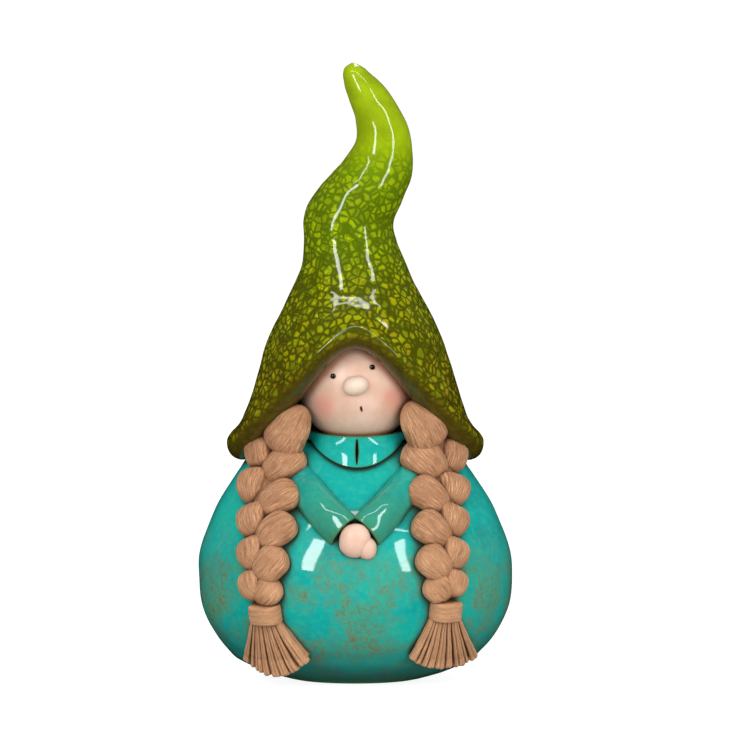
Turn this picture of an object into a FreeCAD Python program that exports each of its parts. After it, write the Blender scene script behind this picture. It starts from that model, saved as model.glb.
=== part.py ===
"""Garden gnome figurine: a seated girl in a wide dress, with two plaits and a tall bent hat.

The figure is hollow earthenware, luted together from separately formed pieces: dress, base
slab, collar, sleeves, hands, head, nose, eyes, plaits with their ties and tassels, and hat.
Millimetres, +Z up, origin at the centre of the foot, and the face looks along -Y.
"left" and "right" are the sides of somebody facing the figure: left is -X.
"""

import FreeCAD
import Part
import math
import os

V = FreeCAD.Vector

# ---- Driving dimensions -------------------------------------------------------------------

WALL = 6.0              # of the cast shells
RING_POINTS = 24        # points round each section of a lofted shell
SIDES = ((-1, "left"), (1, "right"))

# The dress, from the foot to the neck: height, half width, depth in front, depth behind.
DRESS = (
    (0, 46, 43, 43),
    (5, 64, 60, 60),
    (12, 81, 75, 75),
    (22, 92.5, 85, 85),
    (36, 103, 94, 94),
    (52, 110.3, 101, 101),
    (72, 113, 104.5, 104.5),
    (92, 111.5, 102, 103.5),
    (110, 105.5, 94, 98),
    (126, 98.3, 82, 92),
    (140, 89.5, 70, 85),
    (151, 82, 61, 78),
    (160, 75, 53, 70),
    (167, 62, 46.5, 57),
    (172, 46, 42, 38),
    (176, 32, 38, 20),
    (179, 29, 36, 15),
)
SLOPE_STEP = 2.0        # its slope is measured over this much on either side
FOOT_HOLE_R = 36.0
FOOT_HOLE_TOP_Z = 30.0  # inside the hollow
NECK_Y = -14.0
NECK_HOLE_R = 16.0
NECK_HOLE_Z = (150.0, 190.0)

SLAB_THICK = 7.0
SLAB_LIFT = 1.5         # the slab stays clear of the ground
VENT_R = 12.0

HEAD_R = 42.0
HEAD_CENTRE = V(1.4, -20, 212)
HEAD_VENT_R = 6.0       # in its crown, under the hat
FACE_TILT = 13.0        # degrees, from level up to the right
EYE_HALF = V(2.0, 1.6, 2.0)
EYE_SPAN = 28.6         # from eye to eye
EYE_LIFT = 13.5         # above the head's centre
NOSE_HALF = V(9.5, 8.0, 7.4)
NOSE_LIFT = 3.5
MOUTH_HALF = V(0.8, 1.2, 1.9)
MOUTH_DROP = 14.0       # below the head's centre

# The hat: height, centre along X, centre along Y, half width, not counting its brim's flare.
HAT = (
    (140, 0, 0, 93.0),
    (175, 0, 0, 84.0),
    (200, 0.3, -2, 76.0),
    (222, 0.6, -5, 69.2),
    (243, 0.6, -8, 62.5),
    (258, 0.4, -9, 56.2),
    (272, 0.2, -9, 49.5),
    (286, -0.5, -8, 42.5),
    (300, -1.8, -7, 37.4),
    (315, -4.3, -6, 33.8),
    (329, -5.0, -5, 33.0),
    (343, 0.3, -4, 33.0),
    (358, 9.0, -3, 31.0),
    (372, 16.2, -2, 25.6),
    (386, 20.1, -1, 20.2),
    (401, 18.3, 0, 18.2),
    (415, 12.0, 0, 16.3),
    (427, 5.6, 0, 13.9),
    (435, 1.0, 0, 9.8),
    (439.5, -0.8, 0, 5.8),
    (442, -1.4, 0, 1.2),
)
HAT_DEPTH_SHARES = (1.0, 0.86)     # of the half width, in front and behind
HAT_WALL = 7.0
HAT_JOIN_Z = 286.0      # sections are level from here up, and follow the brim below
HAT_CAVITY_TOP_Z = 424.0
HAT_CAVITY_INSET = 10.0  # at the cavity's blunt end
BRIM_TOP_Z = 259.0      # of its widest line, over the face
BRIM_SLOPE = 1.22       # of its two sides
BRIM_ROUND = 14.0       # how rounded the arch is
BRIM_ROUNDS = 40        # of working out its height, which depends on its own width
BLEND_SHARES = (0.6, 0.8)  # the way from the brim up to the first level section
# The brim's section, outwards and upwards from its widest line, from the cavity round the lip.
BRIM_INSIDE = ((-HAT_WALL, 22), (-11, 10), (-16.5, 0), (-18, -8))
BRIM_LIP = ((-14, -13.5), (-7, -15.5), (0, -13), (5, -7.5))
BRIM_OUTSIDE = ((7.5, -1), (6, 4), (2.5, 9), (0.6, 15))

# The lobes of the plaits from the top down, by turns in the inner and the outer column: distance
# across the figure, height, half width, half length, and the lean of its top inwards in degrees.
LOBES = {
    "left": (
        (45.2, 182.0, 13.0, 19.0, 35),
        (67.7, 164.2, 9.8, 14.0, -12),
        (50.0, 155.5, 12.2, 17.4, 43),
        (74.3, 140.7, 9.6, 14.4, -14),
        (53.4, 132.4, 11.8, 17.0, 45),
        (74.2, 117.6, 9.4, 14.4, -25),
        (55.3, 110.9, 11.4, 16.4, 45),
        (74.6, 96.1, 8.9, 13.4, -25),
        (59.2, 89.0, 10.8, 14.8, 42),
        (74.3, 74.4, 8.1, 12.4, -20),
        (61.0, 70.0, 9.2, 12.0, 42),
    ),
    "right": (
        (46.4, 185.5, 13.5, 18.5, 35),
        (69.7, 162.2, 9.8, 14.0, -15),
        (49.0, 158.6, 13.6, 18.5, 40),
        (71.7, 138.0, 9.8, 13.4, -25),
        (51.5, 134.5, 12.0, 16.8, 42),
        (71.4, 117.6, 9.6, 13.4, -25),
        (54.2, 112.1, 11.4, 15.8, 45),
        (71.8, 96.1, 8.8, 12.8, -22),
        (55.7, 90.0, 10.8, 14.6, 45),
        (71.4, 76.0, 8.2, 11.4, -20),
        (58.2, 72.6, 9.2, 11.6, 45),
    ),
}
LOBE_DEPTH_SHARE = 0.85  # of its half width
LOBE_LIFT = 3.5         # of a lobe's middle off the dress
SHOULDER_Z = 158.0      # the plaits hang straight down to here
# The rope behind the lobes, which joins them: distance across the figure, height.
CORE = ((55.0, 184.0), (61.0, 157.0), (64.0, 130.0), (65.5, 100.0), (66.5, 68.0))
CORE_HALF = (10.0, 8.0)
TIE_CENTRE = (64.1, 56.5)
TIE_HALF = V(12.0, 10.5, 8.0)
TIE_LIFT = 4.0
TASSEL_POINTS = 9
# The tassel's sections: height, centre across the figure, centre along Y, half width, half depth.
TASSEL = (
    (52, 64.0, -84.5, 9.5, 7.5),
    (43, 63.0, -83, 12.5, 8.5),
    (32, 61.5, -79.5, 17.0, 9.0),
    (22, 60.3, -75, 21.0, 8.5),
    (12, 59.5, -69, 23.0, 7.0),
)
TASSEL_CUT = 0.16       # share of the radius

# The sleeves run from the shoulder to the cuff: each section's centre, half width, half depth.
SLEEVE = (
    (V(54, -38, 161), 12.5, 9.0),
    (V(41, -55, 148), 13.5, 10.0),
    (V(28, -73, 133), 13.2, 9.8),
    (V(15.2, -87, 119.8), 13.6, 9.8),
    (V(7.8, -92, 113.4), 14.0, 9.6),
)
CUFF_DEPTH = 7.0
CUFF_WALL = 3.2
# The hands: centre, half sizes, and turn about Y in degrees.
LEFT_HAND = (V(0, -98, 108.3), V(12.2, 9.0, 12.8), 24.0)
RIGHT_HAND = (V(7.4, -96.5, 102.3), V(8.2, 8.5, 9.2), -35.0)

# The collar is a conical band, tipped forwards, whose lower edge dips like a bib in front.
COLLAR_TOP = V(1.4, -14, 180.6)     # the centre of its upper edge
COLLAR_TILT = 4.8
COLLAR_RADII = (51.5, 35.0)         # at the bottom and at the top
COLLAR_HEIGHT = 30.0
COLLAR_THICK = 5.0
COLLAR_MARGIN = 1.0                 # the inner cutter passes through both edges by this much
BIB_BOTTOM_Z = 156.7
BIB_HALF = V(50.0, 600.0, 67.5)     # of the ellipse that the lower edge follows
BIB_SIDE_Z = 174.0                  # the lower edge rises no higher than this
BIB_CUTTER = V(120.0, 140.0, 34.0)  # the block, centred on the collar, that the edge is cut with
SLIT_HALF = V(1.6, 30.0, 9.2)
SLIT_CENTRE = V(1.4, -52.5, 167.3)

# ---- Helpers ------------------------------------------------------------------------------


def table_at(table, height):
    """The table's columns at this height, on straight lines between its rows."""
    for low, high in zip(table, table[1:]):
        if height <= high[0]:
            break
    share = (height - low[0]) / (high[0] - low[0])
    return [a + (b - a) * share for a, b in zip(low[1:], high[1:])]


def smooth_at(table, height):
    """The table's columns at this height, on smooth curves through its rows."""
    last = len(table) - 2
    i = next((k for k in range(last) if height <= table[k + 1][0]), last)
    rows = [table[max(i - 1, 0)], table[i], table[i + 1], table[min(i + 2, last + 1)]]
    span = rows[2][0] - rows[1][0]
    t = (height - rows[1][0]) / span
    found = []
    for column in range(1, len(table[0])):
        p = [row[column] for row in rows]
        slopes = [
            (p[k + 1] - p[k - 1]) / (rows[k + 1][0] - rows[k - 1][0]) * span for k in (1, 2)
        ]
        found.append(
            p[1] * (1 + 2 * t) * (1 - t) ** 2
            + slopes[0] * t * (1 - t) ** 2
            + p[2] * t * t * (3 - 2 * t)
            - slopes[1] * t * t * (1 - t)
        )
    return found


def closed_wire(points):
    """A smooth closed curve; every one is evenly knotted, which keeps the lofts light."""
    curve = Part.BSplineCurve()
    curve.interpolate(Points=points, Parameters=range(len(points) + 1), PeriodicFlag=True)
    return Part.Wire([curve.toShape()])


def loft(rings):
    return Part.makeLoft([closed_wire(ring) for ring in rings], True)


def round_angles():
    """Angles round the figure, from the front (0) by its left side."""
    return [2 * math.pi * k / RING_POINTS for k in range(RING_POINTS)]


def ellipsoid(centre, half, rotation=None):
    """A ball stretched to these half sizes. It has two faces, so none closes on itself."""
    up = V(0, 0, 1)
    right = Part.makeSphere(1.0, V(), up, -90, 90, 180)
    left = right.copy()
    left.rotate(V(), up, 180)
    matrix = FreeCAD.Matrix()
    matrix.scale(half)
    shape = right.fuse(left).Solids[0].transformGeometry(matrix)
    shape.Placement = FreeCAD.Placement(centre, rotation or FreeCAD.Rotation())
    return shape


def facing(outward):
    """The rotation that turns local -Y to outward and keeps local Z as upright as it can be."""
    return FreeCAD.Rotation(V(0, 0, 0), outward * -1, V(0, 0, 1), "YZX")


def trim(shape, others):
    """The biggest solid left when the pieces it meets are taken from this shape.

    A cut can loosen the edges of both its shapes, so what it takes away is a fresh copy.
    """
    for other in others:
        if shape.BoundBox.intersect(other.BoundBox):
            shape = shape.cut(other.copy())
    return max(shape.Solids, key=lambda solid: solid.Volume)


def upright(radius, bottom, top, x=0.0, y=0.0):
    return Part.makeCylinder(radius, top - bottom, V(x, y, bottom))


# ---- Dress and base -----------------------------------------------------------------------


def dress_ring(height, half_width, front, back):
    ring = []
    for angle in round_angles():
        depth = front if math.cos(angle) > 0 else back
        ring.append(V(-half_width * math.sin(angle), -depth * math.cos(angle), height))
    return ring


def dress_inner_rows():
    """The dress's rows, moved inwards by the wall, square to its outline."""
    rows = []
    for below, row, above in zip(DRESS, DRESS[1:], DRESS[2:]):
        rise, run = above[0] - below[0], above[1] - below[1]
        length = math.hypot(rise, run)
        inset = WALL * rise / length
        rows.append((row[0] + WALL * run / length, *(size - inset for size in row[1:])))
    return [row for row in rows if row[0] > SLAB_LIFT + SLAB_THICK and row[1] > NECK_HOLE_R]


def make_dress_solid():
    return loft([dress_ring(*row) for row in DRESS])


def make_dress(solid, head_ball):
    hollow = loft([dress_ring(*row) for row in dress_inner_rows()])
    foot_hole = upright(FOOT_HOLE_R, 0, FOOT_HOLE_TOP_Z)
    neck_hole = upright(NECK_HOLE_R, *NECK_HOLE_Z, HEAD_CENTRE.x, NECK_Y)
    return trim(solid.copy(), [hollow, foot_hole, neck_hole, head_ball])


def make_base_slab():
    slab = upright(FOOT_HOLE_R, SLAB_LIFT, SLAB_LIFT + SLAB_THICK)
    return slab.cut(upright(VENT_R, 0, FOOT_HOLE_TOP_Z))


def dress_front(x, height):
    """The point of the dress's front at this place, and its outward normal."""

    def point(px, pz):
        half_width, front, _ = table_at(DRESS, pz)
        return V(px, -front * math.sqrt(max(0.0, 1 - (px / half_width) ** 2)), pz)

    across = point(x + SLOPE_STEP, height) - point(x - SLOPE_STEP, height)
    along = point(x, height + SLOPE_STEP) - point(x, height - SLOPE_STEP)
    return point(x, height), across.cross(along).normalize()


# ---- Hat ----------------------------------------------------------------------------------


def brim_height(angle):
    """The height of the brim's widest line, which arches over the face and is level behind."""
    across = abs(math.sin(angle)) if math.cos(angle) > 0 else 1.0
    height = BRIM_TOP_Z
    for _ in range(BRIM_ROUNDS):
        distance = smooth_at(HAT, height)[2] * across
        drop = BRIM_SLOPE * (math.hypot(distance, BRIM_ROUND) - BRIM_ROUND)
        height = BRIM_TOP_Z - drop
    return height


def hat_point(angle, height, offset):
    centre_x, centre_y, half_width = smooth_at(HAT, height)
    share = HAT_DEPTH_SHARES[0 if math.cos(angle) > 0 else 1]
    return V(
        centre_x - (half_width + offset) * math.sin(angle),
        centre_y - (half_width * share + offset) * math.cos(angle),
        height,
    )


def brim_ring(offset, lift):
    return [hat_point(angle, brim_height(angle) + lift, offset) for angle in round_angles()]


def blend_ring(share, offset):
    """A section part of the way from the brim up to the first level section."""
    ring = []
    for angle in round_angles():
        low = brim_height(angle)
        ring.append(hat_point(angle, low + share * (HAT_JOIN_Z - low), offset))
    return ring


def level_ring(height, offset):
    return [hat_point(angle, height, offset) for angle in round_angles()]


def make_hat():
    """One skin from the cavity's end, down its inside, round the lip and up to the tip."""
    levels = [row[0] for row in HAT if row[0] >= HAT_JOIN_Z]
    inside = [level_ring(z, -HAT_WALL) for z in levels if z < HAT_CAVITY_TOP_Z]
    rings = [level_ring(HAT_CAVITY_TOP_Z, -HAT_CAVITY_INSET)]
    rings += inside[::-1]
    rings += [blend_ring(share, -HAT_WALL) for share in BLEND_SHARES[::-1]]
    rings += [brim_ring(*place) for place in BRIM_INSIDE + BRIM_LIP + BRIM_OUTSIDE]
    rings += [blend_ring(share, 0) for share in BLEND_SHARES]
    rings += [level_ring(z, 0) for z in levels]
    return loft(rings)


# ---- Collar, sleeves and hands ------------------------------------------------------------


def collar_cone(inset, margin):
    tilt = math.radians(COLLAR_TILT)
    axis = V(0, -math.sin(tilt), math.cos(tilt))
    wide, narrow = (radius - inset for radius in COLLAR_RADII)
    flare = (wide - narrow) / COLLAR_HEIGHT * margin
    height = COLLAR_HEIGHT + 2 * margin
    start = COLLAR_TOP - axis * (COLLAR_HEIGHT + margin)
    return Part.makeCone(wide + flare, narrow - flare, height, start, axis)


def make_collar(dress_solid, head_ball):
    band = collar_cone(0, 0)
    corner = V(COLLAR_TOP.x, COLLAR_TOP.y, BIB_SIDE_Z) - V(
        BIB_CUTTER.x / 2, BIB_CUTTER.y / 2, BIB_CUTTER.z
    )
    block = Part.makeBox(*BIB_CUTTER, corner)
    bib_centre = V(COLLAR_TOP.x, 0, BIB_BOTTOM_Z + BIB_HALF.z)
    below = block.cut(ellipsoid(bib_centre, BIB_HALF))
    slit = ellipsoid(SLIT_CENTRE, SLIT_HALF)
    hole = collar_cone(COLLAR_THICK, COLLAR_MARGIN)
    return trim(band, [hole, below, slit, dress_solid, head_ball])


def sleeve_ring(centre, axis, half_width, half_depth):
    """An oval section square to the sleeve's own line, with its flat way to the front."""
    across = axis.cross(V(0, -1, 0)).normalize()
    outward = across.cross(axis)
    return [
        centre + across * (half_width * math.cos(a)) + outward * (half_depth * math.sin(a))
        for a in round_angles()
    ]


def make_sleeve(side, others):
    line = [V(side * centre.x, centre.y, centre.z) for centre, _, _ in SLEEVE]
    axes = [(b - a).normalize() for a, b in zip(line, line[1:])]
    axes.append(axes[-1])
    rings = [sleeve_ring(*place, *row[1:]) for *place, row in zip(line, axes, SLEEVE)]
    inner = [half - CUFF_WALL for half in SLEEVE[-1][1:]]
    cuff = loft(
        [
            sleeve_ring(line[-1] + axes[-1] * reach, axes[-1], *inner)
            for reach in (-CUFF_DEPTH, CUFF_DEPTH)
        ]
    )
    return trim(loft(rings), [cuff, *others])


def make_hand(spec, others):
    centre, half, turn = spec
    shape = ellipsoid(centre, half, FreeCAD.Rotation(V(0, 1, 0), turn))
    return trim(shape, others)


# ---- Head and face ------------------------------------------------------------------------


def face_point(across, up):
    """A point on the head's front, in the tilted face's own directions."""
    tilt = math.radians(FACE_TILT)
    x = across * math.cos(tilt) - up * math.sin(tilt)
    z = across * math.sin(tilt) + up * math.cos(tilt)
    return HEAD_CENTRE + V(x, -math.sqrt(HEAD_R**2 - x * x - z * z), z)


def face_bead(across, up, half):
    """A bead pressed into the face, with its flat way square to the skin."""
    place = face_point(across, up)
    outward = (place - HEAD_CENTRE).normalize()
    tilt = math.radians(FACE_TILT)
    level = V(math.cos(tilt), 0, math.sin(tilt))
    return ellipsoid(place, half, FreeCAD.Rotation(level, outward * -1, V(0, 0, 1), "YXZ"))


def make_head(head_ball, cutters):
    hollow = Part.makeSphere(HEAD_R - WALL, HEAD_CENTRE)
    top = HEAD_CENTRE.z + HEAD_R
    vent = upright(HEAD_VENT_R, HEAD_CENTRE.z, top, HEAD_CENTRE.x, HEAD_CENTRE.y)
    neck = upright(NECK_HOLE_R, NECK_HOLE_Z[0], HEAD_CENTRE.z, HEAD_CENTRE.x, NECK_Y)
    mouth = face_bead(0, -MOUTH_DROP, MOUTH_HALF)
    return trim(head_ball, [hollow, vent, neck, mouth, *cutters])


# ---- Plaits -------------------------------------------------------------------------------


def plait_place(side, x, z):
    """A point on the dress under the plait and the way outwards, level above the shoulder."""
    place, outward = dress_front(side * x, min(z, SHOULDER_Z))
    if z > SHOULDER_Z:
        outward = V(outward.x, outward.y, 0).normalize()
    return V(place.x, place.y, z), outward


def make_lobe(side, x, z, half_width, half_length, lean):
    place, outward = plait_place(side, x, z)
    turn = FreeCAD.Rotation(V(0, 1, 0), -side * lean)
    half = V(half_width, half_width * LOBE_DEPTH_SHARE, half_length)
    return ellipsoid(place + outward * LOBE_LIFT, half, facing(outward).multiply(turn))


def make_plait(side, name, others):
    """Lobes in two columns, as plaited strands show them, on a rope that joins them."""
    across, along = CORE_HALF
    rings = []
    for x, z in CORE:
        place, _ = plait_place(side, x, z)
        rings.append(
            [place + V(across * math.sin(a), -along * math.cos(a), 0) for a in round_angles()]
        )
    lobes = [make_lobe(side, *row) for row in LOBES[name]]
    return trim(loft(rings).fuse(lobes), others)


def make_tie(side, others):
    place, outward = dress_front(side * TIE_CENTRE[0], TIE_CENTRE[1])
    place += outward * TIE_LIFT
    return trim(ellipsoid(place, TIE_HALF, facing(outward)), others)


def make_tassel(side, others):
    rings = []
    for z, x, y, half_width, half_depth in TASSEL:
        ring = []
        count = 4 * TASSEL_POINTS
        for k in range(count):
            angle = 2 * math.pi * k / count
            size = 1 - TASSEL_CUT * (1 - math.cos(TASSEL_POINTS * angle)) / 2
            spoke = V(half_width * math.sin(angle), -half_depth * math.cos(angle), 0) * size
            ring.append(V(side * x, y, z) + spoke)
        rings.append(ring)
    return trim(loft(rings), others)


# ---- All the pieces -----------------------------------------------------------------------


def make_parts():
    dress_solid = make_dress_solid()
    head_ball = Part.makeSphere(HEAD_R, HEAD_CENTRE)
    parts = {
        "dress_shell": make_dress(dress_solid, head_ball),
        "base_slab": make_base_slab(),
        "hat": trim(make_hat(), [dress_solid, head_ball]),
    }
    parts["collar"] = make_collar(dress_solid, head_ball)
    taken = [dress_solid, head_ball, parts["hat"], parts["collar"]]
    for side, name in SIDES:
        parts[f"{name}_plait"] = make_plait(side, name, taken)
        bound = [dress_solid, parts[f"{name}_plait"]]
        parts[f"{name}_tie"] = make_tie(side, bound)
        bound.append(parts[f"{name}_tie"])
        parts[f"{name}_tassel"] = make_tassel(side, bound)
    taken += [parts[f"{name}_plait"] for _, name in SIDES]
    for side, name in SIDES:
        parts[f"{name}_sleeve"] = make_sleeve(side, taken)
        taken.append(parts[f"{name}_sleeve"])
    parts["left_hand"] = make_hand(LEFT_HAND, taken)
    parts["right_hand"] = make_hand(RIGHT_HAND, [*taken, parts["left_hand"]])
    beads = {
        "nose": face_bead(0, NOSE_LIFT, NOSE_HALF),
        "left_eye": face_bead(-EYE_SPAN / 2, EYE_LIFT, EYE_HALF),
        "right_eye": face_bead(EYE_SPAN / 2, EYE_LIFT, EYE_HALF),
    }
    parts["head"] = make_head(head_ball, [beads["left_eye"], beads["right_eye"]])
    parts["nose"] = trim(beads["nose"], [head_ball])
    parts["left_eye"] = beads["left_eye"]
    parts["right_eye"] = beads["right_eye"]
    return parts


os.makedirs("parts", exist_ok=True)
for node, shape in make_parts().items():
    shape.exportStep(f"parts/{node}.step")
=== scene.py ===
"""Looks for the garden gnome girl: glazed, stained and painted earthenware, built on its CAD frame.

Lengths are in millimetres in the shapes, and in metres in the materials and the studio. +Z is
up, the figure faces -Y, and "left" is -X.
"""

import math

import bpy
import numpy as np
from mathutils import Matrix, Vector


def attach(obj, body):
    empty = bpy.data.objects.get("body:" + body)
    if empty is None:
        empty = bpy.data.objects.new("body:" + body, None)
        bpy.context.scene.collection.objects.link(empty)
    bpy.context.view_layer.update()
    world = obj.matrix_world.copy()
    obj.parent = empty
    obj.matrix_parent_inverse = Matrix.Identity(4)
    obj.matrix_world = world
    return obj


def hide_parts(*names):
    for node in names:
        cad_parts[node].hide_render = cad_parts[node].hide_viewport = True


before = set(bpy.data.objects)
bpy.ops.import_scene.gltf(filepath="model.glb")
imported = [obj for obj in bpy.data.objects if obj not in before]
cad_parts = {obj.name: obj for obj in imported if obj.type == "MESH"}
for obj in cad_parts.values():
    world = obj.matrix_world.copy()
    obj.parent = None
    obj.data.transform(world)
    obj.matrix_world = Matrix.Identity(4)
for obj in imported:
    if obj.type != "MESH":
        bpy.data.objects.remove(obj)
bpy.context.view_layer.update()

MM = 0.001
TAU = 2 * math.pi
SIDES = ((-1, "left"), (1, "right"))

# ---- The object's main shapes -------------------------------------------------------------

# Dress: height, half width, depth in front, depth behind.
DRESS = (
    (0, 46, 43, 43),
    (5, 64, 60, 60),
    (12, 81, 75, 75),
    (22, 92.5, 85, 85),
    (36, 103, 94, 94),
    (52, 110.3, 101, 101),
    (72, 112.6, 104.1, 104.1),
    (92, 111.5, 102, 103.5),
    (110, 105.5, 94, 98),
    (126, 98.3, 82, 92),
    (140, 89.5, 70, 85),
    (151, 82, 61, 78),
    (160, 75, 53, 70),
    (167, 62, 46.5, 57),
    (172, 46, 42, 38),
    (176, 32, 38, 20),
    (179, 29, 36, 15),
)
# Hat: height, centre along X, centre along Y, half width.
HAT = (
    (140, 0, 0, 93.0),
    (175, 0, 0, 84.0),
    (200, 0.3, -2, 76.0),
    (222, 0.6, -5, 69.2),
    (243, 0.6, -8, 62.5),
    (258, 0.4, -9, 56.2),
    (272, 0.2, -9, 49.5),
    (286, -0.5, -8, 42.5),
    (300, -1.8, -7, 37.4),
    (315, -4.3, -6, 33.8),
    (329, -5.0, -5, 33.0),
    (343, 0.3, -4, 33.0),
    (358, 9.0, -3, 31.0),
    (372, 16.2, -2, 25.6),
    (386, 20.1, -1, 20.2),
    (401, 18.3, 0, 18.2),
    (415, 12.0, 0, 16.3),
    (427, 5.6, 0, 13.9),
    (435, 1.0, 0, 9.8),
    (439.5, -0.8, 0, 5.8),
    (442, -1.4, 0, 1.2),
)
# Depth as a share of the width, in front and behind.
HAT_DEPTH_SHARES = (1.0, 0.86)
HAT_WALL = 7.0
HAT_JOIN_Z = 286.0
HAT_CURL_Z = 434.0
HAT_TOP_Z = 442.0
HAT_CAVITY_TOP_Z = 424.0
# The brim's line: its height over the face, the slope of its two sides, and how rounded its arch
# is. It starts 2 mm lower than the CAD brim and is rounder, so its sides are a little higher.
BRIM_TOP_Z = 257.0
BRIM_SLOPE = 1.22
BRIM_ROUND = 17.0
BRIM_STEPS = 40
# The brim's section in three parts, from the cavity round the lip: offset out from the hat's side,
# and height over the brim's edge.
BRIM_INSIDE = ((-7, 22), (-11, 10), (-16.5, 0), (-18, -8))
BRIM_LIP = ((-14, -13.5), (-7, -15.5), (0, -13), (5, -7.5))
BRIM_OUTSIDE = ((7.5, -1), (6, 4), (2.5, 9), (0.6, 15))
DRESS_WALL = 6.0
HEAD_R = 42.0
HEAD_CENTRE = np.array((1.4, -20.0, 212.0))
FACE_TILT = 13.0

# ---- Helpers for shapes -------------------------------------------------------------------


def curve(table, at):
    """The table's columns at these places along its first one, on smooth curves."""
    rows = np.array(table, float)
    x, y = rows[:, 0], rows[:, 1:]
    slopes = np.gradient(y, x, axis=0)
    at = np.clip(np.asarray(at, float), x[0], x[-1])
    i = np.clip(np.searchsorted(x, at) - 1, 0, len(x) - 2)
    span = (x[i + 1] - x[i])[..., None]
    t = (at - x[i])[..., None] / span
    return (
        y[i] * (1 + 2 * t) * (1 - t) ** 2
        + slopes[i] * span * t * (1 - t) ** 2
        + y[i + 1] * t * t * (3 - 2 * t)
        - slopes[i + 1] * span * t * t * (1 - t)
    )


def step(low, high, x):
    """A smooth rise from 0 at low to 1 at high, or a fall where low is above high."""
    t = np.clip((x - low) / (high - low), 0, 1)
    return t * t * (3 - 2 * t)


def lattice(i, seed):
    """A fixed number from -1 to 1 for each whole-numbered point."""
    mixed = (i[..., 0] * 374761393 + i[..., 1] * 668265263 + i[..., 2] * 1440662683) & 0xFFFFFFFF
    mixed = (mixed + seed * 362437) & 0xFFFFFFFF
    mixed = ((mixed ^ (mixed >> 13)) * 1274126177) & 0xFFFFFFFF
    return ((mixed ^ (mixed >> 16)) & 0xFFFF) / 32767.5 - 1


def lumps(points, size, seed=0, octaves=1):
    """Smooth noise from about -1 to 1 with lumps of this size, in millimetres."""
    total = 0.0
    for octave in range(octaves):
        p = np.asarray(points, float) * 2**octave / size + 37.0
        i = np.floor(p).astype(np.int64)
        f = p - i
        f = f * f * (3 - 2 * f)
        value = 0.0
        for corner in np.ndindex(2, 2, 2):
            weight = np.prod(np.where(np.array(corner) == 1, f, 1 - f), axis=-1)
            value = value + weight * lattice(i + np.array(corner), seed + octave)
        total = total + value / 2**octave
    return total


def unit(v):
    """The vectors at length 1."""
    return v / np.maximum(np.linalg.norm(v, axis=-1, keepdims=True), 1e-9)


def normals_of(rings, loop=False):
    """Normals of a grid of rings, all on the same side of it."""
    around = np.roll(rings, -1, 1) - np.roll(rings, 1, 1)
    if loop:
        along = np.roll(rings, -1, 0) - np.roll(rings, 1, 0)
    else:
        along = np.gradient(rings, axis=0)
    return unit(np.cross(around, along))


def grid_faces(count, around, loop):
    """Four-cornered faces between each ring and the next, and from last to first in a loop."""
    k = np.arange(around)
    after = (k + 1) % around
    faces = []
    for r in range(count if loop else count - 1):
        a, b = r * around, ((r + 1) % count) * around
        faces.append(np.stack([a + k, a + after, b + after, b + k], 1))
    return np.concatenate(faces)


def volume(vertices, faces):
    """A number whose sign says whether the faces look outwards."""
    a, b, c, d = (vertices[faces[:, k]] for k in range(4))
    return np.einsum("ij,ij->", a, np.cross(b, c)) + np.einsum("ij,ij->", a, np.cross(c, d))


def make_piece(name, shells, material, nodes, loop=False):
    """A piece from closed shells, each (grid of rings, {attribute name: grid of numbers}).

    A shell ends in two caps, or in a loop its last ring joins its first.
    """
    vertices, faces, values, first = [], [], {}, 0
    for rings, marks in shells:
        count, around = rings.shape[:2]
        own = rings.reshape(-1, 3)
        quads = grid_faces(count, around, loop)
        flip = volume(own - own.mean(0), quads) < 0
        extra, caps = [], []
        if not loop:
            for r, turn in ((0, flip), (count - 1, not flip)):
                middle = len(own) + len(extra)
                extra.append(rings[r].mean(0))
                for k in range(around):
                    a, b = r * around + k, r * around + (k + 1) % around
                    caps.append([first + n for n in ((a, b, middle) if turn else (b, a, middle))])
        if flip:
            quads = quads[:, ::-1]
        faces += (quads + first).tolist() + caps
        vertices.append(own)
        if extra:
            vertices.append(np.array(extra))
        for mark, grid in marks.items():
            flat = grid.reshape(count, -1)
            ends = [flat[0].mean(), flat[-1].mean()] if extra else []
            values.setdefault(mark, []).append(np.concatenate([flat.ravel(), ends]))
        first += len(own) + len(extra)
    mesh = bpy.data.meshes.new(name)
    mesh.from_pydata((np.concatenate(vertices) * MM).tolist(), [], faces)
    for mark, parts in values.items():
        attribute = mesh.attributes.new(mark, "FLOAT", "POINT")
        attribute.data.foreach_set("value", np.concatenate(parts).astype(np.float32))
    mesh.polygons.foreach_set("use_smooth", [True] * len(mesh.polygons))
    mesh.materials.append(material)
    piece = bpy.data.objects.new(name, mesh)
    bpy.context.scene.collection.objects.link(piece)
    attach(piece, "root")
    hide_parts(*nodes)


def ball_grid(rows, around, half, centre, turn):
    """A squashed ball with its poles up and down, then turned by this matrix."""
    up = np.linspace(0.0, math.pi, rows + 2)[1:-1][:, None]
    angle = np.linspace(0, TAU, around, endpoint=False)[None, :]
    unit_ball = np.stack(
        [
            np.sin(up) * np.sin(angle),
            -np.sin(up) * np.cos(angle),
            np.cos(up) * np.ones_like(angle),
        ],
        -1,
    )
    return unit_ball * np.array(half) @ turn.T + np.array(centre)


def spin(degrees):
    """A rotation matrix about Y."""
    a = math.radians(degrees)
    c, s = math.cos(a), math.sin(a)
    return np.array(((c, 0, s), (0, 1, 0), (-s, 0, c)))


def squarish(theta, power=0.8):
    """The cosine and sine for a ring that is a little squarer than an ellipse."""
    c, s = np.cos(theta), np.sin(theta)
    return np.sign(c) * np.abs(c) ** power, np.sign(s) * np.abs(s) ** power


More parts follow.
